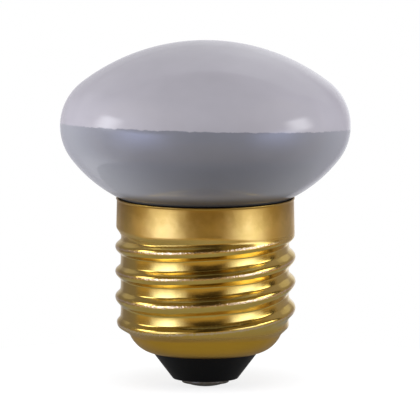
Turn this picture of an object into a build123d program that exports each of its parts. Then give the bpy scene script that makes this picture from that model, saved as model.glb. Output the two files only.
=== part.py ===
from build123d import *
import math
import os

# A reflector bulb: a blown mushroom of glass cemented into a rolled brass screw cap.
# The lamp's axis is Z and the cap points down. The origin is the tip of the centre contact.
# Sizes are in millimetres, and heights that start with z_ are measured from that tip.

# Screw shell, rolled from thin sheet with a medium Edison thread
sheet = 0.30
thread_d = 26.08
thread_depth = 0.98
thread_pitch = 3.629
thread_phase = 0.55  # height of a crest on the +X side, less whole pitches
cap_height = 27.70  # contact tip to the rim of the shell
lip_flare = 0.33
lip_height = 0.40
skirt_height = 4.40
skirt_inset = 0.11  # the crests stand this far outside the plain skirt
run_in = 1.40  # height of the step from the skirt down to the full thread

# Rounded bottom of the shell
shoulder_inset = 1.68  # the crests stand this far outside the rounded bottom
shoulder_r = 4.45
mouth_d = 15.26  # hole that the insulator comes out of
thread_lift = 2.54  # mouth to where the thread starts
run_out = 1.45  # height over which the shoulder widens to the thread
fade_out = 3.50  # height over which the thread grows to its full depth
steps_per_turn = 16  # straight-sided rings that each turn of the thread is drawn with

# Insulator
nose_d = 9.42
nose_fillet = 0.25
cone_height = 3.83
insulator_seat = 2.30  # how far the insulator reaches up inside the shell
lead_hole_d = 1.80

# Centre contact
contact_d = 6.90
contact_rise = 0.60  # how far the plate stands out of the insulator
contact_recess = 0.50
contact_fillet = 0.25
solder_d = 6.00
solder_dome = 0.55

# Glass bulb
glass_d = 42.30
belly_rise = 10.50  # rim of the shell to the widest circle of the glass
dome_rise = 12.34  # widest circle to the crown
edge_r = 7.76
under_r = 19.50  # curve of the mirrored underside
neck_root_r = 1.00
neck_drop = 1.15  # rim of the shell down to where the straight neck begins
neck_length = 9.00
neck_fillet = 3.00

# Basing cement, and the solder spot on the rim
cement_gap = 1.33  # room that the neck leaves inside the skirt
cement_depth = 3.00
spot_d = 1.90
spot_height = 0.40

# Heights and radii that follow from the sizes above
crest_r = thread_d / 2
mean_r = crest_r - thread_depth / 2
skirt_r = crest_r - skirt_inset
neck_r = skirt_r - sheet - cement_gap
mouth_r = mouth_d / 2
z_plate = solder_dome
z_nose = z_plate + contact_rise
z_mouth = z_nose + cone_height
z_thread = z_mouth + thread_lift
z_skirt = cap_height - lip_height - skirt_height
z_neck = cap_height - neck_drop
z_belly = cap_height + belly_rise
z_crown = z_belly + dome_rise

# Centre of the arc that rounds the shell's bottom, in the section's own coordinates
shoulder_x = crest_r - shoulder_inset - shoulder_r
shoulder_z = z_mouth + math.sqrt(shoulder_r**2 - (mouth_r - shoulder_x) ** 2)


def shoulder_point(z, inset):
    """Where the shell's rounded bottom, set in by inset, passes the height z."""
    reach = shoulder_r - inset
    return Vector(shoulder_x + math.sqrt(reach**2 - (shoulder_z - z) ** 2), z)


def tangent_centre(a, reach_a, b, reach_b):
    """The point reach_a from a and reach_b from b, on the axis side of the line from a down to b."""
    span = b - a
    along = (span.length**2 + reach_a**2 - reach_b**2) / (2 * span.length)
    across = math.sqrt(reach_a**2 - along**2)
    unit = span.normalized()
    return a + unit * along + Vector(unit.Y, -unit.X) * across


def toward(a, b, distance):
    """The point on the line from a through b that lies the given distance from a."""
    return a + (b - a).normalized() * distance


def ease(t, slope):
    """Runs smoothly from 0 to 1 as t does, leaving 0 with the given slope and ending level."""
    return slope * t * (1 - t) ** 2 + t**2 * (3 - 2 * t)


def thread_turn(z, inset):
    """The thread's round section at the height z, set in by inset: its radius and how far it is off the axis."""
    start_r = shoulder_point(z_thread, inset).X
    full_r = mean_r - inset
    start_slope = (shoulder_z - z_thread) / (start_r - shoulder_x)
    out = ease(min((z - z_thread) / run_out, 1), start_slope * run_out / (full_r - start_r))
    grown = ease(min((z - z_thread) / fade_out, 1), 0)
    into = ease(min((z_skirt - z) / run_in, 1), 0)
    radius = full_r - (full_r - start_r) * (1 - out) + (skirt_r - mean_r) * (1 - into)
    return radius, thread_depth / 2 * grown * into


def shell_body(inset):
    """The filled form of the screw shell, with its surface set in by inset."""
    z_floor = shoulder_z - shoulder_r + inset
    z_top = cap_height + lip_height
    start = shoulder_point(z_thread, inset)
    wall_r = skirt_r - inset
    steps = math.ceil((z_skirt - z_thread) / thread_pitch * steps_per_turn)
    with BuildPart() as body:
        # Round sections whose centres wind round the axis make the rolled thread.
        for step in range(steps + 1):
            z = z_thread + (z_skirt - z_thread) * step / steps
            angle = 2 * math.pi * (z - thread_phase) / thread_pitch
            radius, off_axis = thread_turn(z, inset)
            with BuildSketch(Plane.XY.offset(z)):
                with Locations((off_axis * math.cos(angle), off_axis * math.sin(angle))):
                    Circle(radius)
        loft(ruled=True)

        # The rounded bottom below the thread
        with BuildSketch(Plane.XZ):
            with BuildLine():
                RadiusArc((shoulder_x, z_floor), start, -(shoulder_r - inset))
                Polyline(start, (0, z_thread), (0, z_floor), (shoulder_x, z_floor))
            make_face()
        revolve(axis=Axis.Z)

        # The plain skirt and its flared lip, which runs on past the rim until it is cut there
        with BuildSketch(Plane.XZ):
            with BuildLine():
                Polyline(
                    (0, z_skirt),
                    (wall_r, z_skirt),
                    (wall_r, cap_height - lip_height),
                    (wall_r + 2 * lip_flare, z_top),
                    (0, z_top),
                    close=True,
                )
            make_face()
        revolve(axis=Axis.Z)
    return body.part


shell_outside = shell_body(0)

with BuildPart() as screw_shell:
    add(shell_outside)
    add(shell_body(sheet), mode=Mode.SUBTRACT)
    with BuildSketch(Plane.XY):
        Circle(mouth_r)
    extrude(amount=shoulder_z, mode=Mode.SUBTRACT)
    split(bisect_by=Plane.XY.offset(cap_height), keep=Keep.BOTTOM)
screw_shell.part.label = "screw_shell"


# The blown glass is one closed body: a dome, a tight edge, the underside and the neck, all tangent arcs.
edge_centre = Vector(glass_d / 2 - edge_r, z_belly)
root_centre = Vector(neck_r + neck_root_r, z_neck)
under_centre = tangent_centre(edge_centre, under_r - edge_r, root_centre, under_r + neck_root_r)
dome_r = (edge_centre.X**2 + dome_rise**2 - edge_r**2) / (2 * (dome_rise - edge_r))
dome_centre = Vector(0, z_crown - dome_r)
dome_end = toward(dome_centre, edge_centre, dome_r)
edge_end = toward(under_centre, edge_centre, under_r)
under_end = toward(under_centre, root_centre, under_r)

with BuildPart() as glass_bulb:
    with BuildSketch(Plane.XZ) as profile:
        with BuildLine():
            dome = TangentArc((0, z_crown), dome_end, tangent=(1, 0))
            edge = TangentArc(dome_end, edge_end, tangent=dome % 1)
            under = TangentArc(edge_end, under_end, tangent=edge % 1)
            TangentArc(under_end, (neck_r, z_neck), tangent=under % 1)
            Polyline(
                (neck_r, z_neck),
                (neck_r, z_neck - neck_length),
                (0, z_neck - neck_length),
                (0, z_crown),
            )
        make_face()
        neck_end = profile.vertices().group_by(Axis.Y)[0].sort_by(Axis.X)[-1]
        fillet(neck_end, neck_fillet)
    revolve(axis=Axis.Z)
glass_bulb.part.label = "glass_bulb"


# The cement fills the space between the neck and the skirt.
with BuildPart() as basing_cement:
    with BuildSketch(Plane.XY.offset(z_neck)):
        Circle(skirt_r - sheet)
        Circle(neck_r, mode=Mode.SUBTRACT)
    extrude(amount=-cement_depth)
basing_cement.part.label = "basing_cement"


# The insulator is moulded against the inside of the shell's bottom, and its cone comes out of the mouth.
with BuildPart() as insulator:
    z_seat = z_mouth + insulator_seat
    ledge = shoulder_z - math.sqrt((shoulder_r - sheet) ** 2 - (mouth_r - shoulder_x) ** 2)
    with BuildSketch(Plane.XZ) as cone:
        with BuildLine():
            Polyline(
                shoulder_point(z_seat, sheet),
                (0, z_seat),
                (0, z_nose),
                (nose_d / 2, z_nose),
                (mouth_r, z_mouth),
                (mouth_r, ledge),
            )
            RadiusArc((mouth_r, ledge), shoulder_point(z_seat, sheet), -(shoulder_r - sheet))
        make_face()
        nose_rim = cone.vertices().group_by(Axis.Y)[0].sort_by(Axis.X)[-1]
        fillet(nose_rim, nose_fillet)
    revolve(axis=Axis.Z)
    with BuildSketch(Plane.XY.offset(z_nose)):
        Circle(contact_d / 2)
    extrude(amount=contact_recess, mode=Mode.SUBTRACT)
    with BuildSketch(Plane.XY.offset(z_nose)):
        Circle(lead_hole_d / 2)
    extrude(amount=z_seat - z_nose, mode=Mode.SUBTRACT)
insulator.part.label = "insulator"


# The contact plate sits in the insulator's recess, and the lead comes through its eyelet.
with BuildPart() as contact_plate:
    with BuildSketch(Plane.XY.offset(z_plate)):
        Circle(contact_d / 2)
        Circle(lead_hole_d / 2, mode=Mode.SUBTRACT)
    extrude(amount=contact_rise + contact_recess)
    rim = contact_plate.edges().group_by(Axis.Z)[0].sort_by(SortBy.RADIUS)[-1]
    fillet(rim, contact_fillet)
contact_plate.part.label = "contact_plate"


# The solder fills the eyelet and stands as a dome on the plate. Its tip is the origin.
with BuildPart() as contact_solder:
    with BuildSketch(Plane.XZ):
        with BuildLine():
            ThreePointArc((-solder_d / 2, z_plate), (0, 0), (solder_d / 2, z_plate))
            Line((solder_d / 2, z_plate), (-solder_d / 2, z_plate))
        make_face()
        split(bisect_by=Plane.YZ)
    revolve(axis=Axis.Z)
    with BuildSketch(Plane.XY.offset(z_plate)):
        Circle(lead_hole_d / 2)
    extrude(amount=contact_rise + contact_recess)
contact_solder.part.label = "contact_solder"


# A spot of solder on the back of the skirt, just under the lip, joins the second lead to the shell.
spot_ball_r = (spot_d**2 / 4 + spot_height**2) / (2 * spot_height)
with BuildPart() as side_solder:
    with Locations((0, skirt_r + spot_height - spot_ball_r, cap_height - spot_d / 2)):
        Sphere(spot_ball_r)
    add(shell_outside, mode=Mode.SUBTRACT)
    split(bisect_by=Plane.XY.offset(cap_height), keep=Keep.BOTTOM)
side_solder.part.label = "side_solder"


pieces = (
    glass_bulb,
    basing_cement,
    screw_shell,
    insulator,
    contact_plate,
    contact_solder,
    side_solder,
)
os.makedirs("parts", exist_ok=True)
for piece in pieces:
    export_step(piece.part, f"parts/{piece.part.label}.step")
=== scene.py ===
import math

import bpy
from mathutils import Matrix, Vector


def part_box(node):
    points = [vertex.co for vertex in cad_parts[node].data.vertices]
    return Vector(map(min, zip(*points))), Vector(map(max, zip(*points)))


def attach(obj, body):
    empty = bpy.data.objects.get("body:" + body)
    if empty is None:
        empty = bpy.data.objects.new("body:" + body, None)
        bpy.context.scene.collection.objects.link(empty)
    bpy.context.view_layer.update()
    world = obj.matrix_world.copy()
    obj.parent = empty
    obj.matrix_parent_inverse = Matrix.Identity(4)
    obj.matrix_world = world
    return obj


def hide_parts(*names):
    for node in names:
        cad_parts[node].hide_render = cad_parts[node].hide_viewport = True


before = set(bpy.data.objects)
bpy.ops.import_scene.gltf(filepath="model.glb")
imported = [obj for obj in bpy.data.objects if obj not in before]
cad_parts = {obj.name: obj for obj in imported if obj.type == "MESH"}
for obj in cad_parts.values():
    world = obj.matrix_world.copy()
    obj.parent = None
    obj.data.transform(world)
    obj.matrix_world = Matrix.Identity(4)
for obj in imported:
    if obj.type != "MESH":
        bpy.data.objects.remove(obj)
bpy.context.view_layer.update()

# A reflector bulb: a blown, half mirrored glass mushroom in a rolled brass screw cap.
# The object's sizes are in millimetres, and each mesh is scaled to metres when it is made.
mm = 0.001


def low(node):
    """Lowest corner of a node's box in the frame."""
    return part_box(node)[0] / mm


def high(node):
    """Highest corner of a node's box in the frame."""
    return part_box(node)[1] / mm


# Heights that the frame gives
z_crown = high("glass_bulb").z
z_neck_end = low("glass_bulb").z
z_neck = high("basing_cement").z  # the straight neck begins at the top of the cement
z_rim = high("screw_shell").z
z_mouth = low("screw_shell").z
z_nose = low("insulator").z
z_seat = high("insulator").z
z_plate = low("contact_plate").z
z_plate_top = high("contact_plate").z

# Screw shell
sheet = 0.30
crest_r = 13.12
thread_depth = 0.98
thread_pitch = 3.629
thread_phase = 0.55  # height of a crest on the right, less whole pitches
thread_lift = 2.54  # mouth to where the thread starts
run_out = 1.45  # height over which the shoulder widens to the thread
fade_out = 3.50  # height over which the thread grows to its full depth
run_in = 1.55  # height of the step from the skirt down to the thread
skirt_r = 12.94
skirt_taper = 0.09  # the skirt is this much narrower at the lip than at the thread
skirt_height = 4.40
lip_height = 0.40
lip_flare = 0.12
shoulder_r = 4.45
shoulder_x = 6.91  # centre of the arc that rounds the shell's bottom
mouth_r = 7.63

# Unevenness of the rolled thread round the cap
upper_round = 0.68  # radius of the rounded ridges above the crest
lower_round = 1.10  # and below it
upper_flank = math.radians(53)  # slope of the straight flanks, which end on a nearly flat floor
lower_flank = math.radians(46)
flank_ease = math.radians(9)  # the lower flanks are this much gentler on the right
foot_round = 0.05
floor_hollow = 0.17  # share of the depth that the floor is hollowed by
floor_tilt = 0.26  # on the right, the floor leans out downwards by so much in a whole pitch
crest_sag = 0.08  # the crests lie this much below the middle of their turns
uneven_depth = 0.10  # share of its depth that the thread gains on the right and loses on the left
rolled_depth = 0.91  # the rest of its depth, as a share of the solid's
turn_slant = 0.15  # the turns stand this much higher on the right and lower on the left
side_lift = 0.28  # the turns stand this much higher at the sides and the back than in the solid
front_drop = 0.95  # and sag this much from there to the front
front_stretch = 0.064  # share that the pitch gains at the front, about the height stretch_z
stretch_z = 12.3
last_drop = 0.28  # the last turn runs out this much lower
run_past = 1.20  # it dies away this far down the shoulder
late_end = 2.2  # and this much higher on the right
skirt_drop = 0.15  # the skirt ends this much lower than the solid's
skirt_slant = 0.30  # and this much lower still on the right and higher on the left
skirt_notch = 0.65  # and this much higher at the far left
notch_start = 0.6  # which begins at this share of the radius
skirt_rise = 0.60  # and this much higher at the front and the back, where it turns in more gently
uneven_run = 0.17  # share that the step under the skirt gains on the left and loses on the right

# Glass bulb
glass_r = 21.15
belly_rise = 10.50  # rim of the shell to the widest circle of the glass
edge_r = 7.76
under_r = 19.50  # curve of the mirrored underside
neck_r = 11.30
neck_root_r = 1.00
neck_fillet = 3.00

# Edge of the mirror coat: its height on the axis, and its slopes across and towards the back
mirror_z = 38.15
mirror_slope_x = -0.021
mirror_slope_y = -0.079
neck_shade_z = 28.4  # painted shade darkens the glass from here down, just above the cap
neck_shade_fade = 1.4  # height over which the painted shade fades in

# Insulator and contact
nose_r = 4.71
nose_fillet = 0.25
lead_hole_r = 0.90
contact_r = 3.45
contact_fillet = 0.25
solder_r = 3.00

# Heights that follow from those above
z_thread = z_mouth + thread_lift
z_lip = z_rim - lip_height
z_skirt = z_lip - skirt_height
z_belly = z_rim + belly_rise
shoulder_z = z_mouth + math.sqrt(shoulder_r**2 - (mouth_r - shoulder_x) ** 2)


# Meshes

def angles_round(columns):
    """Angles that share out a whole turn evenly."""
    return [2 * math.pi * j / columns for j in range(columns)]


def arc(centre, radius, start, end, steps):
    """Points on an arc round centre, from the angle start to the angle end."""
    return [
        (centre[0] + radius * math.cos(a), centre[1] + radius * math.sin(a))
        for a in (start + (end - start) * i / steps for i in range(steps + 1))
    ]


def line(a, b, steps):
    """Points from a to b, without a itself."""
    return [
        (a[0] + (b[0] - a[0]) * i / steps, a[1] + (b[1] - a[1]) * i / steps)
        for i in range(1, steps + 1)
    ]


def angle_of(a, b):
    """Direction from a to b."""
    return math.atan2(b[1] - a[1], b[0] - a[0])


def grid_faces(rows, columns, closed):
    """Quads of a grid that closes round its columns and, where asked, round its rows."""
    last = rows if closed else rows - 1
    faces = []
    for i in range(last):
        lower, upper = i * columns, (i + 1) % rows * columns
        for j in range(columns):
            k = (j + 1) % columns
            faces.append((lower + j, lower + k, upper + k, upper + j))
    return faces


def lathe(profile, columns, closed=False):
    """Points and faces of a profile turned round the axis. An open profile starts and ends on the axis."""
    ring = [(math.cos(a), math.sin(a)) for a in angles_round(columns)]
    rows = profile if closed else profile[1:-1]
    points = [(r * c, r * s, z) for r, z in rows for c, s in ring]
    faces = grid_faces(len(rows), columns, closed)
    if not closed:
        start, end, top = len(points), len(points) + 1, (len(rows) - 1) * columns
        points += [(0, 0, profile[0][1]), (0, 0, profile[-1][1])]
        for j in range(columns):
            k = (j + 1) % columns
            faces.append((start, k, j))
            faces.append((end, top + j, top + k))
    return points, faces


def smooth_object(name, points, faces, material):
    """An object with a smooth mesh, whose points are in metres."""
    mesh = bpy.data.meshes.new(name)
    mesh.from_pydata(points, [], faces)
    mesh.shade_smooth()
    mesh.materials.append(material)
    piece = bpy.data.objects.new(name, mesh)
    bpy.context.scene.collection.objects.link(piece)
    return piece


def make_piece(name, points, faces, material, node):
    """A piece that stands for a node of the frame. Its points are in millimetres."""
    piece = smooth_object(name, [(x * mm, y * mm, z * mm) for x, y, z in points], faces, material)
    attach(piece, "root")
    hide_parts(node)
    return piece


def stage_piece(name, points, faces, material):
    """A piece of the studio. Its points are in metres."""
    piece = smooth_object(name, points, faces, material)
    return piece


# Node trees

class Nodes:
    """Short ways to add nodes to a tree and join them."""

    def __init__(self, tree):
        self.tree = tree
        tree.nodes.clear()

    def add(self, kind, **settings):
        node = self.tree.nodes.new("ShaderNode" + kind)
        for key, value in settings.items():
            setattr(node, key, value)
        return node

    def put(self, socket, value):
        if isinstance(value, bpy.types.NodeSocket):
            self.tree.links.new(value, socket)
        else:
            socket.default_value = value

    def math(self, operation, a, b=0.0):
        node = self.add("Math", operation=operation)
        self.put(node.inputs[0], a)
        self.put(node.inputs[1], b)
        return node.outputs[0]

    def ramp(self, value, from_low, from_high, to_low=0.0, to_high=1.0, smooth=False):
        node = self.add("MapRange", interpolation_type="SMOOTHSTEP" if smooth else "LINEAR")
        for socket, number in zip(node.inputs, (value, from_low, from_high, to_low, to_high)):
            self.put(socket, number)
        return node.outputs[0]

    def between(self, factor, a, b):
        """A number that runs from a to b as the factor does from 0 to 1."""
        return self.ramp(factor, 0.0, 1.0, a, b)

    def spread(self, noise, to_low=0.0, to_high=1.0):
        """Noise, which lies mostly between 0.3 and 0.7, spread over a range."""
        return self.ramp(noise, 0.3, 0.7, to_low, to_high)

    def mix(self, factor, a, b):
        node = self.add("Mix", data_type="RGBA")
        self.put(node.inputs["Factor"], factor)
        self.put(node.inputs[6], a)
        self.put(node.inputs[7], b)
        return node.outputs[2]

    def noise(self, coordinates, scale, detail=2.0, roughness=0.5):
        node = self.add("TexNoise")
        self.put(node.inputs["Vector"], coordinates)
        self.put(node.inputs["Scale"], scale)
        self.put(node.inputs["Detail"], detail)
        self.put(node.inputs["Roughness"], roughness)
        return node.outputs["Fac"]

    def stretch(self, coordinates, scale):
        node = self.add("Mapping")
        self.put(node.inputs["Vector"], coordinates)
        self.put(node.inputs["Scale"], scale)
        return node.outputs[0]

    def split(self, vector):
        """The vector's X, Y and Z."""
        node = self.add("SeparateXYZ")
        self.put(node.inputs[0], vector)
        return node.outputs

    def length(self, vector):
        node = self.add("VectorMath", operation="LENGTH")
        self.put(node.inputs[0], vector)
        return node.outputs["Value"]

    def bump(self, height, distance, strength=1.0, normal=None):
        node = self.add("Bump")
        self.put(node.inputs["Strength"], strength)
        self.put(node.inputs["Distance"], distance)
        self.put(node.inputs["Height"], height)
        if normal:
            self.put(node.inputs["Normal"], normal)
        return node.outputs[0]


def new_material(name):
    """A material with a Principled shader, its nodes and the object's own coordinates in millimetres."""
    material = bpy.data.materials.new(name)
    material.use_nodes = True
    nodes = Nodes(material.node_tree)
    shader = nodes.add("BsdfPrincipled")
    output = nodes.add("OutputMaterial")
    nodes.put(output.inputs["Surface"], shader.outputs[0])
    place = nodes.stretch(nodes.add("TexCoord").outputs["Object"], (1 / mm, 1 / mm, 1 / mm))
    return material, nodes, shader, place


def set_inputs(nodes, shader, **values):
    """Sets the shader's inputs by name, with _ for a space."""
    for key, value in values.items():
        nodes.put(shader.inputs[key.replace("_", " ")], value)


# Materials

def brass_material():
    """Brass sheet: burnished on the thread, grained on its crests and satin elsewhere, with painted shade
    on the shoulder and the top of the skirt and a painted highlight on the crests.
    """
    satin_tone = (0.84, 0.58, 0.165, 1)
    burnished_tone = (0.83, 0.60, 0.145, 1)
    stained_tone = (0.77, 0.54, 0.13, 1)
    # painted shade on the shoulder
    shoulder_shade_tone = (0.80, 0.47, 0.05, 1)
    # painted shade at the top of the skirt, under the glass
    skirt_top_shade_tone = (0.59, 0.38, 0.085, 1)
    # paler crests: the sheet's grain and a painted highlight
    crest_grain_and_highlight_tone = (0.89, 0.67, 0.37, 1)
    satin_rough = 0.32
    burnished_rough = 0.15
    streaked_rough = 0.03  # the streaks change the roughness by so much
    crest_rough = 0.06  # and the crests add so much to it
    burnish_start = 0.5  # above the start of the thread
    shoulder_shade_end = 2.2  # above it too, where the painted shade on the shoulder ends
    skirt_shade_start, skirt_shade_end = 3.7, 0.6  # below the rim, where the painted shade at the top of the skirt lies
    skirt_shade_sway = 0.8  # the edge of the painted shade goes up and down by so much
    grain_edge, grain_core = 0.31, 0.13  # radians of the turn from the crest
    grain_sway = 0.17
    material, nodes, shader, place = new_material("rolled_brass")
    z = nodes.split(place)["Z"]
    # The rolls burnish the thread, and leave the skirt and the shoulder satin.
    z_burnish = z_thread + burnish_start
    above = nodes.ramp(z, z_burnish, z_burnish + run_out)
    below = nodes.ramp(z, z_skirt, z_skirt - run_in)
    burnished = nodes.math("MULTIPLY", above, below)
    # They don't touch the tops of the crests, which keep the grain of the stretched sheet; the crests'
    # paler tone is also a painted highlight.
    turn = nodes.add("Attribute", attribute_name="turn").outputs["Vector"]
    wave = nodes.split(turn)
    off_crest = nodes.math("ABSOLUTE", nodes.math("ARCTAN2", wave["Y"], wave["X"]))
    grain = nodes.noise(place, scale=3.4, detail=1.0)
    frayed = nodes.math("ADD", off_crest, nodes.spread(grain, -grain_sway, grain_sway))
    grown = nodes.ramp(nodes.length(turn), 0.1, 0.5)
    ridge = nodes.math("MULTIPLY", nodes.ramp(frayed, grain_edge, grain_core, smooth=True), grown)
    streaks = nodes.noise(nodes.stretch(place, (0.12, 0.12, 9.0)), scale=1.0, detail=3.0, roughness=0.6)
    stains = nodes.noise(place, scale=0.35, detail=4.0, roughness=0.6)
    tone = nodes.mix(burnished, satin_tone, burnished_tone)
    tone = nodes.mix(nodes.ramp(stains, 0.4, 0.75), tone, stained_tone)
    # Painted shade: the shoulder is painted darker towards the bottom, and the top of the skirt is painted
    # darker under the glass.
    shoulder_shade = nodes.ramp(z, z_thread + shoulder_shade_end, z_thread, smooth=True)
    tone = nodes.mix(shoulder_shade, tone, shoulder_shade_tone)
    # Painted shade under the glass, with a wavering lower edge
    swaying_z = nodes.math("ADD", z, nodes.spread(stains, -skirt_shade_sway, skirt_shade_sway))
    skirt_top_shade = nodes.ramp(swaying_z, z_rim - skirt_shade_start, z_rim - skirt_shade_end, smooth=True)
    tone = nodes.mix(skirt_top_shade, tone, skirt_top_shade_tone)
    rough = nodes.between(burnished, satin_rough, burnished_rough)
    rough = nodes.math("ADD", rough, nodes.spread(streaks, -streaked_rough, streaked_rough))
    rough = nodes.math("ADD", rough, nodes.math("MULTIPLY", ridge, crest_rough))
    dents = nodes.bump(nodes.noise(place, scale=0.22), distance=0.12 * mm)
    marks = nodes.bump(streaks, distance=0.010 * mm, strength=0.5, normal=dents)
    grain_strength = nodes.between(ridge, 0.06, 1.0)
    set_inputs(
        nodes,
        shader,
        Base_Color=nodes.mix(ridge, tone, crest_grain_and_highlight_tone),
        Metallic=1.0,
        Roughness=rough,
        Normal=nodes.bump(grain, distance=0.075 * mm, strength=grain_strength, normal=marks),
    )
    return material


def glass_material():
    """Glass that is frosted down to the edge of the mirror coat, and mirrored from within below it, with a
    painted reflection where the mirror is seen at a slant and painted shade near the cap.
    """
    frost_tones = (0.41, 0.39, 0.42, 1), (0.45, 0.43, 0.46, 1)
    mirror_tones = (0.215, 0.22, 0.25, 1), (0.235, 0.24, 0.27, 1)
    # painted reflection on the mirror, seen at a slant
    slant_reflection_tone = (0.35, 0.355, 0.38, 1)
    # painted shade on the glass near the cap
    neck_shade_tone = (0.10, 0.10, 0.10, 1)
    edge_sway = 0.12
    edge_blur = 0.06
    material, nodes, shader, place = new_material("bulb_glass")
    x, y, z = nodes.split(place)
    tilt_x = nodes.math("MULTIPLY", x, mirror_slope_x)
    tilt_y = nodes.math("MULTIPLY", y, mirror_slope_y)
    tilt = nodes.math("ADD", tilt_x, tilt_y)
    ragged = nodes.noise(place, scale=0.8, detail=4.0, roughness=0.65)
    ragged = nodes.spread(ragged, -edge_sway, edge_sway)
    edge = nodes.math("ADD", nodes.math("ADD", tilt, ragged), mirror_z)
    frosted = nodes.ramp(nodes.math("SUBTRACT", z, edge), -edge_blur, edge_blur)
    cloud = nodes.noise(place, scale=0.12, detail=3.0, roughness=0.55)
    frost = nodes.mix(nodes.spread(cloud), *frost_tones)
    mirror = nodes.mix(nodes.spread(cloud), *mirror_tones)
    # Painted reflection: the mirror is painted paler where it is seen at a slant.
    slant = nodes.add("LayerWeight").outputs["Facing"]
    mirror = nodes.mix(nodes.ramp(slant, 0.19, 0.74, smooth=True), mirror, slant_reflection_tone)
    # Painted shade: the glass is painted dark near the cap.
    clear = nodes.ramp(z, neck_shade_z + neck_shade_fade, neck_shade_z, smooth=True)
    mirror = nodes.mix(clear, mirror, neck_shade_tone)
    set_inputs(
        nodes,
        shader,
        Base_Color=nodes.mix(frosted, mirror, frost),
        Metallic=nodes.between(frosted, 0.15, 0.0),
        Roughness=nodes.between(frosted, 0.55, 0.6),
        Coat_Weight=nodes.between(frosted, 0.6, 1.0),
        Coat_Roughness=0.10,
        Coat_IOR=1.5,
        Normal=nodes.bump(cloud, distance=0.05 * mm, strength=0.3),
    )
    return material


def black_glass_material():
    """Moulded black glass with specks of dust."""
    clean_tone = (0.006, 0.006, 0.006, 1)
    dusty_tone = (0.02, 0.019, 0.018, 1)
    material, nodes, shader, place = new_material("black_glass")
    flow = nodes.noise(place, scale=0.6, detail=3.0)
    dust = nodes.ramp(nodes.noise(place, scale=6.0, roughness=0.7), 0.62, 0.75)
    set_inputs(
        nodes,
        shader,
        Base_Color=nodes.mix(dust, clean_tone, dusty_tone),
        Roughness=nodes.spread(flow, 0.30, 0.42),
        Specular_IOR_Level=0.12,
        Normal=nodes.bump(flow, distance=0.05 * mm, strength=0.5),
    )
    return material


def solder_material():
    """Dull solder, uneven from how it froze."""
    dark_tone = (0.145, 0.137, 0.12, 1)
    pale_tone = (0.24, 0.23, 0.205, 1)
    material, nodes, shader, place = new_material("solder")
    frozen = nodes.noise(place, scale=2.5, detail=4.0, roughness=0.6)
    set_inputs(
        nodes,
        shader,
        Base_Color=nodes.mix(frozen, dark_tone, pale_tone),
        Metallic=1.0,
        Roughness=nodes.spread(frozen, 0.28, 0.48),
        Normal=nodes.bump(frozen, distance=0.08 * mm, strength=0.5),
    )
    return material


def tin_material():
    """Tin on the contact plate, worn in places."""
    tin_tone = (0.29, 0.275, 0.24, 1)
    worn_tone = (0.215, 0.18, 0.13, 1)
    material, nodes, shader, place = new_material("contact_tin")
    wear = nodes.noise(place, scale=1.2, detail=4.0, roughness=0.6)
    set_inputs(
        nodes,
        shader,
        Base_Color=nodes.mix(nodes.ramp(wear, 0.35, 0.65), tin_tone, worn_tone),
        Metallic=1.0,
        Roughness=nodes.spread(wear, 0.25, 0.42),
        Normal=nodes.bump(wear, distance=0.02 * mm, strength=0.5),
    )
    return material


def cement_material():
    """Coarse brown cement."""
    dark_tone = (0.16, 0.13, 0.10, 1)
    pale_tone = (0.34, 0.29, 0.22, 1)
    material, nodes, shader, place = new_material("cement")
    lumps = nodes.noise(place, scale=2.0, detail=6.0, roughness=0.65)
    set_inputs(
        nodes,
        shader,
        Base_Color=nodes.mix(lumps, dark_tone, pale_tone),
        Roughness=0.9,
        Normal=nodes.bump(lumps, distance=0.2 * mm, strength=0.8),
    )
    return material


brass = brass_material()
glass = glass_material()
black_glass = black_glass_material()
solder = solder_material()
tin = tin_material()
cement = cement_material()


# Glass bulb

def tangent_centre(a, reach_a, b, reach_b):
    """The point reach_a from a and reach_b from b, on the axis side of the line from a down to b."""
    span = math.dist(a, b)
    along = (span**2 + reach_a**2 - reach_b**2) / (2 * span)
    across = math.sqrt(reach_a**2 - along**2)
    ux, uz = (b[0] - a[0]) / span, (b[1] - a[1]) / span
    return a[0] + ux * along + uz * across, a[1] + uz * along - ux * across


def glass_profile():
    """The bulb's outline from the crown down to the end of the neck."""
    dome_rise = z_crown - z_belly
    edge_centre = (glass_r - edge_r, z_belly)
    root_centre = (neck_r + neck_root_r, z_neck)
    under_centre = tangent_centre(edge_centre, under_r - edge_r, root_centre, under_r + neck_root_r)
    dome_r = (edge_centre[0] ** 2 + dome_rise**2 - edge_r**2) / (2 * (dome_rise - edge_r))
    dome_centre = (0, z_crown - dome_r)
    to_edge = angle_of(dome_centre, edge_centre)
    to_under = angle_of(under_centre, edge_centre)
    to_root = angle_of(under_centre, root_centre)
    profile = arc(dome_centre, dome_r, math.pi / 2, to_edge, steps=44)
    profile += arc(edge_centre, edge_r, to_edge, to_under, steps=48)[1:]
    profile += arc(under_centre, under_r, to_under, to_root, steps=36)[1:]
    profile += arc(root_centre, neck_root_r, to_root + math.pi, math.pi, steps=10)[1:]
    fillet_centre = (neck_r - neck_fillet, z_neck_end + neck_fillet)
    profile += line((neck_r, z_neck), (neck_r, fillet_centre[1]), steps=6)
    profile += arc(fillet_centre, neck_fillet, 0, -math.pi / 2, steps=10)[1:]
    profile += line((fillet_centre[0], z_neck_end), (0, z_neck_end), steps=5)
    return profile


def glass_piece():
    points, faces = lathe(glass_profile()[::-1], columns=192)
    make_piece("blown_bulb", points, faces, glass, "glass_bulb")


# Screw shell

def ease(t, slope):
    """Runs smoothly from 0 to 1 as t does, leaving 0 with the given slope and ending level."""
    return slope * t * (1 - t) ** 2 + t**2 * (3 - 2 * t)


def smooth(t):
    """Runs smoothly from 0 to 1 as t does, and stays level outside."""
    return ease(min(max(t, 0), 1), 0)


def skirt_wall(z):
    """Radius of the plain skirt, which tapers a little towards the lip."""
    return skirt_r + skirt_taper * (0.5 - (z - z_skirt) / skirt_height)


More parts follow.
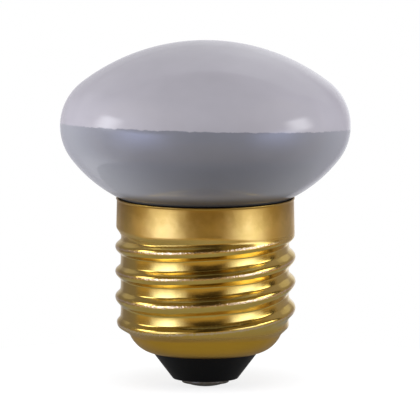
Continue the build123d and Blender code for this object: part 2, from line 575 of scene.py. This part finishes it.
def skirt_end(side):
    """Height at which the skirt ends, from side -1 at the far left to 1 at the far right."""
    notch = skirt_notch * smooth((-side - notch_start) / (1 - notch_start))
    return z_skirt - skirt_drop - skirt_slant * side + notch + skirt_rise * smooth(1 - abs(side))


def shoulder_wall(z, inset):
    """Radius of the rounded bottom at a height, set in by inset."""
    return shoulder_x + math.sqrt((shoulder_r - inset) ** 2 - (shoulder_z - z) ** 2)


def shoulder_arc(z_end, inset, steps):
    """Points on the rounded bottom, set in by inset, from the mouth up to a height."""
    reach = shoulder_r - inset
    mouth_angle = -math.acos((mouth_r - shoulder_x) / reach)
    end_angle = -math.asin((shoulder_z - z_end) / reach)
    return arc((shoulder_x, shoulder_z), reach, mouth_angle, end_angle, steps)


def thread_floor(z, inset, full_r):
    """Radius of the thread's floor, which is the rounded bottom and widens from there to full_r."""
    if z < z_thread:
        return shoulder_wall(z, inset)
    start_r = shoulder_wall(z_thread, inset)
    start_slope = (shoulder_z - z_thread) / (start_r - shoulder_x)
    out = ease(min((z - z_thread) / run_out, 1), start_slope * run_out / (full_r - start_r))
    return start_r + (full_r - start_r) * out


def turn_at(z, angle):
    """Place in the turn of the thread, as an angle that is 0 at the crest and positive below it."""
    side, back = math.cos(angle), math.sin(angle)
    drop = last_drop * (1 - smooth((z - z_thread - fade_out) / thread_pitch))
    drop *= 1 + smooth(-side) * (1 - smooth((z - z_thread) / fade_out))
    front = front_drop - front_stretch * (z - stretch_z)
    lift = side_lift + turn_slant * side - front * smooth(-back) - drop
    turn = angle - 2 * math.pi * (z - lift - thread_phase) / thread_pitch
    return turn - math.pi * crest_sag / thread_pitch * (1 + math.cos(turn))


def ridge_height(off_crest, depth, radius, slope):
    """Height of a ridge over the floor, at a distance from its crest: a round top on straight flanks."""
    reach = radius * math.sin(slope)
    if off_crest < reach:
        height = depth - radius + math.sqrt(radius**2 - off_crest**2)
    else:
        height = depth - radius * (1 - math.cos(slope)) - (off_crest - reach) * math.tan(slope)
    return (height + math.hypot(height, foot_round)) / 2


def thread_point(z, angle, inset):
    """The thread at a height and angle, set in by inset.

    Gives its radius, its place in the turn and the share of its depth that it has grown to.
    """
    side = math.cos(angle)
    turn = turn_at(z, angle)
    depth = thread_depth * (rolled_depth + uneven_depth * side * smooth((z_skirt - z) / thread_pitch))
    floor = thread_floor(z, inset, crest_r - depth - inset)
    wall = skirt_wall(z) - inset
    step = run_in * (1 - uneven_run * side) + skirt_rise * smooth(1 - abs(side))
    into = smooth((skirt_end(side) - z) / step)
    start = late_end * smooth(side) - run_past
    grown = smooth((z - z_thread - start) / (fade_out - start)) * into
    below = (turn / math.pi + 1) % 2 - 1
    if below > 0:
        radius, slope = lower_round, lower_flank - flank_ease * smooth(side)
    else:
        radius, slope = upper_round, upper_flank
    ridge = ridge_height(abs(below) * thread_pitch / 2, depth, radius, slope) / depth
    crest = ridge + floor_hollow * ((1 + math.cos(turn)) / 2 - ridge)
    lean = floor_tilt * smooth(side) * ((turn / (2 * math.pi)) % 1 - 0.5) * (1 - ridge)
    return wall + (floor - wall) * into + grown * (depth * crest + lean), turn, grown


def plain_rows(profile, columns):
    """Rows of the shell where it is plainly round."""
    return [(z, [(r, 0, 0)] * columns) for r, z in profile]


def shell_rows(inset, angles, turn_rows):
    """Rows of the shell's surface, set in by inset, from the mouth up to the lip.

    Each row is a height and the thread's points round it.
    """
    z_end = max(skirt_end(-1), skirt_end(0))
    steps = math.ceil((z_end - z_thread) / thread_pitch * turn_rows)
    heights = [z for _, z in shoulder_arc(z_thread, inset, steps=24)]
    heights += [z_thread + (z_end - z_thread) * i / steps for i in range(1, steps + 1)]
    rows = [(z, [thread_point(z, angle, inset) for angle in angles]) for z in heights]
    plain = line((skirt_wall(z_end) - inset, z_end), (skirt_wall(z_lip) - inset, z_lip), steps=8)
    return rows + plain_rows(plain, len(angles))


def shell_piece():
    columns = 240
    outside_rows, inside_rows = 44, 16  # in each turn of the thread
    flare_steps = 6
    angles = angles_round(columns)
    outside = shell_rows(0, angles, outside_rows)
    inside = shell_rows(sheet, angles, inside_rows)
    # The lip flares out and ends in a rounded edge.
    lip_r = skirt_wall(z_lip)
    edge_round = sheet / 2
    flare = [
        (lip_r + lip_flare * t**2, z_lip + (lip_height - edge_round) * t)
        for t in (i / flare_steps for i in range(1, flare_steps + 1))
    ]
    tip = (flare[-1][0] - edge_round, z_rim - edge_round)
    flare += arc(tip, edge_round, 0, math.pi, steps=8)[1:]
    flare += line(flare[-1], (lip_r - sheet, z_lip), steps=4)[:-1]
    rows = outside + plain_rows(flare, columns) + inside[::-1]
    points = [
        (r * math.cos(a), r * math.sin(a), z)
        for z, ring in rows
        for a, (r, _, _) in zip(angles, ring)
    ]
    faces = grid_faces(len(rows), columns, closed=True)
    piece = make_piece("rolled_shell", points, faces, brass, "screw_shell")
    # Each point's place in its turn of the thread, for the grain on the crests
    turns = piece.data.attributes.new("turn", "FLOAT_VECTOR", "POINT")
    waves = [
        value
        for _, ring in rows
        for _, turn, grown in ring
        for value in (grown * math.cos(turn), grown * math.sin(turn), 0)
    ]
    turns.data.foreach_set("vector", waves)


# Insulator, centre contact and solder

def insulator_piece():
    slope = math.atan2(z_mouth - z_nose, mouth_r - nose_r)
    round_reach = nose_fillet * math.tan(slope / 2)
    fillet_centre = (nose_r - round_reach, z_nose + nose_fillet)
    profile = line((lead_hole_r, z_plate_top), (contact_r, z_plate_top), steps=4)
    profile += line((contact_r, z_plate_top), (contact_r, z_nose), steps=3)
    profile += line((contact_r, z_nose), (fillet_centre[0], z_nose), steps=3)
    profile += arc(fillet_centre, nose_fillet, -math.pi / 2, slope - math.pi / 2, steps=6)[1:]
    profile += line(profile[-1], (mouth_r, z_mouth), steps=16)
    profile += shoulder_arc(z_seat, sheet, steps=12)
    profile += line(profile[-1], (lead_hole_r, z_seat), steps=8)
    profile += line((lead_hole_r, z_seat), (lead_hole_r, z_plate_top), steps=4)
    points, faces = lathe(profile, columns=128, closed=True)
    make_piece("moulded_insulator", points, faces, black_glass, "insulator")


def contact_piece():
    corner = (contact_r - contact_fillet, z_plate + contact_fillet)
    profile = line((lead_hole_r, z_plate), (corner[0], z_plate), steps=8)
    profile += arc(corner, contact_fillet, -math.pi / 2, 0, steps=8)[1:]
    profile += line((contact_r, corner[1]), (contact_r, z_plate_top), steps=4)
    profile += line((contact_r, z_plate_top), (lead_hole_r, z_plate_top), steps=4)
    profile += line((lead_hole_r, z_plate_top), (lead_hole_r, z_plate), steps=4)
    points, faces = lathe(profile, columns=96, closed=True)
    make_piece("tinned_contact", points, faces, tin, "contact_plate")


def solder_piece():
    dome_r = (solder_r**2 + z_plate**2) / (2 * z_plate)
    half = math.asin(solder_r / dome_r)
    profile = arc((0, dome_r), dome_r, -math.pi / 2, -math.pi / 2 + half, steps=24)
    profile += line(profile[-1], (lead_hole_r, z_plate), steps=4)
    profile += line((lead_hole_r, z_plate), (lead_hole_r, z_plate_top), steps=3)
    profile += line((lead_hole_r, z_plate_top), (0, z_plate_top), steps=3)
    points, faces = lathe(profile, columns=96)
    make_piece("contact_dome", points, faces, solder, "contact_solder")


glass_piece()
shell_piece()
insulator_piece()
contact_piece()
solder_piece()

# The cement and the side solder keep the frame's own meshes.
for node, material in (("basing_cement", cement), ("side_solder", solder)):
    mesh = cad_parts[node].data
    mesh.materials.clear()
    mesh.materials.append(material)


# Studio, in metres and degrees. Azimuth and bearing are 0 on the camera's side and grow to the right.

def shown_rays(nodes):
    """1 for rays that show the background: from the camera, or by way of gloss or glass."""
    path = nodes.add("LightPath").outputs
    rays = nodes.math("ADD", path["Is Camera Ray"], path["Is Glossy Ray"])
    return nodes.math("MINIMUM", nodes.math("ADD", rays, path["Is Transmission Ray"]), 1.0)


def white_world(fill):
    """White where it shows, and a dimmer fill on the object."""
    world = bpy.data.worlds.new("studio")
    world.use_nodes = True
    bpy.context.scene.world = world
    nodes = Nodes(world.node_tree)
    background = nodes.add("Background")
    nodes.put(background.inputs["Color"], (1, 1, 1, 1))
    nodes.put(background.inputs["Strength"], nodes.between(shown_rays(nodes), fill, 1.0))
    nodes.put(nodes.add("OutputWorld").inputs["Surface"], background.outputs[0])


def floor_piece(radius, glow):
    """A round pale floor, which the object's shadow falls on.

    Its own light is glow in the middle, where the lamps add to it, and white at the edge.
    Gloss and glass see a small share of that light.
    """
    glow_end, white_start = 0.2, 0.8  # shares of the radius
    gloss_share = 0.10
    columns = 96
    material, nodes, shader, place = new_material("pale_floor")
    inner, outer = glow_end * radius / mm, white_start * radius / mm
    light = nodes.ramp(nodes.length(place), inner, outer, glow, 1.0, smooth=True)
    path = nodes.add("LightPath").outputs
    mirrored = nodes.math("ADD", path["Is Glossy Ray"], path["Is Transmission Ray"])
    mirrored = nodes.math("MULTIPLY", mirrored, gloss_share)
    shown = nodes.math("MINIMUM", nodes.math("ADD", path["Is Camera Ray"], mirrored), 1.0)
    set_inputs(
        nodes,
        shader,
        Base_Color=(0.28, 0.28, 0.28, 1),
        Roughness=0.9,
        Specular_IOR_Level=0.0,
        Emission_Color=(1, 1, 1, 1),
        Emission_Strength=nodes.math("MULTIPLY", shown, light),
    )
    points = [(radius * math.cos(a), radius * math.sin(a), 0.0) for a in angles_round(columns)]
    stage_piece("floor", points, [tuple(range(columns))], material)


def window(nodes, value, start, end, soft):
    """1 where the value, in radians, lies between two angles in degrees, with soft edges."""
    rise = nodes.ramp(value, math.radians(start - soft), math.radians(start + soft), smooth=True)
    fall = nodes.ramp(value, math.radians(end + soft), math.radians(end - soft), smooth=True)
    return nodes.math("MULTIPLY", rise, fall)


def cloth_shade(nodes, bearing, lift):
    """Colour of the tent's dim cloth, which is dark behind the camera and overhead."""
    cloth = (0.285, 0.21, 0.13, 1)
    low_cloth = (0.43, 0.31, 0.15, 1)
    left_cloth = (0.22, 0.20, 0.23, 1)
    right_cloth = (0.31, 0.28, 0.33, 1)
    upper_cloth = (0.20, 0.155, 0.085, 1)
    dark_cloth = (0.042, 0.03, 0.018, 1)
    past_top = 120  # ends of areas that go on to the top and to the back
    past_back = 220
    shade = nodes.mix(window(nodes, lift, -60, -6, soft=4), cloth, low_cloth)
    shade = nodes.mix(window(nodes, bearing, -past_back, -106, soft=8), shade, left_cloth)
    shade = nodes.mix(window(nodes, bearing, 112, past_back, soft=5), shade, right_cloth)
    facing = window(nodes, bearing, -100, 96, soft=8)
    upper = nodes.math("MULTIPLY", facing, window(nodes, lift, 16, past_top, soft=4))
    shade = nodes.mix(upper, shade, upper_cloth)
    ahead = window(nodes, bearing, -20, 24, soft=8)
    ahead = nodes.math("MULTIPLY", ahead, window(nodes, lift, -2.5, past_top, soft=4))
    dark = nodes.math("MAXIMUM", ahead, window(nodes, lift, 62, past_top, soft=4))
    return nodes.mix(dark, shade, dark_cloth)


def back_screen(nodes, outward):
    """Brightness of the round white screen at the tent's back, from 0 to 1."""
    middle_lift = math.radians(9)
    edge = math.cos(math.radians(50))
    edge_blur = 0.01
    x, y, z = nodes.split(outward)
    towards = nodes.add("VectorMath", operation="DOT_PRODUCT")
    nodes.put(towards.inputs[0], outward)
    nodes.put(towards.inputs[1], (0, math.cos(middle_lift), math.sin(middle_lift)))
    screen = nodes.ramp(towards.outputs["Value"], edge - edge_blur, edge + edge_blur, smooth=True)
    screen = nodes.math("MULTIPLY", screen, nodes.ramp(z, 0.30, 0.45, smooth=True))
    # Right behind the object it comes down to the table.
    low_screen = nodes.ramp(y, math.cos(math.radians(36)), math.cos(math.radians(20)), smooth=True)
    screen = nodes.math("MAXIMUM", screen, low_screen)
    # It is dimmer to the left and to the right.
    screen = nodes.math("MULTIPLY", screen, nodes.ramp(x, -0.35, 0.15, 0.25, 1.0))
    return nodes.math("MULTIPLY", screen, nodes.ramp(x, 0.15, 0.50, 1.0, 0.38))


def tent_piece(radius, panes):
    """The tent round the object, seen in the gloss alone: dim cloth, a white screen and bright panes."""
    screen_white = (0.95, 0.95, 1.0, 1)
    fade_power = 1.8
    material, nodes, shader, place = new_material("tent_cloth")
    normalize = nodes.add("VectorMath", operation="NORMALIZE")
    nodes.put(normalize.inputs[0], place)
    outward = normalize.outputs[0]
    x, y, z = nodes.split(outward)
    bearing = nodes.math("ARCTAN2", x, nodes.math("MULTIPLY", y, -1))
    lift = nodes.math("ARCSINE", z)
    shade = cloth_shade(nodes, bearing, lift)
    shade = nodes.mix(back_screen(nodes, outward), shade, screen_white)
    for left, right, low_edge, high_edge, side_soft, soft, foot, colour in panes:
        across = window(nodes, bearing, left, right, side_soft)
        upright = window(nodes, lift, low_edge, high_edge, soft)
        fade = nodes.ramp(lift, math.radians(low_edge), math.radians(high_edge), foot, 1.0)
        fade = nodes.math("POWER", fade, fade_power)
        pane = nodes.math("MULTIPLY", nodes.math("MULTIPLY", across, upright), fade)
        shade = nodes.mix(pane, shade, colour)
    set_inputs(
        nodes,
        shader,
        Base_Color=(0.0, 0.0, 0.0, 1),
        Specular_IOR_Level=0.0,
        Emission_Color=shade,
        Emission_Strength=1.0,
    )
    profile = arc((0, 0), radius, -math.pi / 2, math.pi / 2, steps=24)
    points, faces = lathe(profile, columns=48)
    tent = stage_piece("tent", points, faces, material)
    tent.visible_camera = False
    tent.visible_shadow = False
    tent.visible_diffuse = False


def face_from(item, aim, azimuth, elevation, distance):
    """Puts a lamp or the camera into the scene, at a distance from the point aim and facing it."""
    turn, lift = math.radians(azimuth), math.radians(elevation)
    side = Vector((math.sin(turn) * math.cos(lift), -math.cos(turn) * math.cos(lift), math.sin(lift)))
    item.location = aim + side * distance
    item.rotation_euler = side.to_track_quat("Z", "Y").to_euler()
    bpy.context.scene.collection.objects.link(item)


def softbox(name, azimuth, elevation, distance, width, height, radiance):
    """A rectangular light that faces the object, hidden from the camera and from gloss."""
    cool_white = (0.97, 0.985, 1.06)
    aim_z = 28
    light = bpy.data.lights.new(name, "AREA")
    light.shape = "RECTANGLE"
    light.color = cool_white
    light.size = width
    light.size_y = height
    light.energy = radiance * math.pi * width * height
    lamp = bpy.data.objects.new(name, light)
    lamp.visible_camera = False
    lamp.visible_glossy = False
    face_from(lamp, Vector((0, 0, aim_z * mm)), azimuth, elevation, distance)


# Each pane: left, right, lower and upper edge, softness of its sides and of its other edges,
# share of its light at the foot, and colour
panes = [
    (-72, -37, -24, 10, 16, 4, 0.20, (3.45, 3.9, 6.5, 1)),
    (41, 75, -24, 10, 15, 4, 0.20, (2.95, 3.3, 5.2, 1)),
    (97, 108, 0, 40, 3, 3, 1.0, (0.03, 0.025, 0.02, 1)),
    (-170, -92, -75, -32, 16, 14, 1.0, (1.5, 1.5, 1.55, 1)),
    (96, 170, -75, -32, 16, 14, 1.0, (0.6, 0.6, 0.66, 1)),
    (-97, -77, 8, 28, 8, 4, 0.9, (4.8, 4.8, 5.0, 1)),
    (72, 93, 8, 26, 8, 4, 0.9, (5.0, 5.0, 5.1, 1)),
]
# Each lamp: name, azimuth, elevation, distance, width, height and radiance
lamps = [
    ("front_light", 0, 44, 0.60, 0.50, 0.50, 3.5),
    ("left_light", -100, -11, 0.55, 0.35, 0.45, 8.5),
    ("right_light", 105, -7, 0.55, 0.35, 0.45, 5.7),
]
white_world(fill=0.30)
floor_piece(radius=0.050, glow=0.81)
tent_piece(radius=1.6, panes=panes)
for lamp in lamps:
    softbox(*lamp)


# Camera

def add_camera():
    """The photo's view: from a little above the cap, and far enough away to look nearly flat."""
    image_px = 420
    px_per_mm = 6.87
    axis_px = 205.4  # column of the photo that the lamp's axis is in
    aim_z = 25.82  # height in the middle of the photo
    elevation = 7.2
    distance = 2500
    data = bpy.data.cameras.new("camera")
    data.sensor_width = 36
    data.lens = data.sensor_width * distance / (image_px / px_per_mm)
    data.clip_end = 4 * distance * mm
    camera = bpy.data.objects.new("camera", data)
    aim = Vector(((image_px / 2 - axis_px) / px_per_mm, 0, aim_z)) * mm
    face_from(camera, aim, 0, elevation, distance * mm)
    bpy.context.scene.camera = camera


add_camera()
bpy.context.scene.view_settings.view_transform = "Standard"
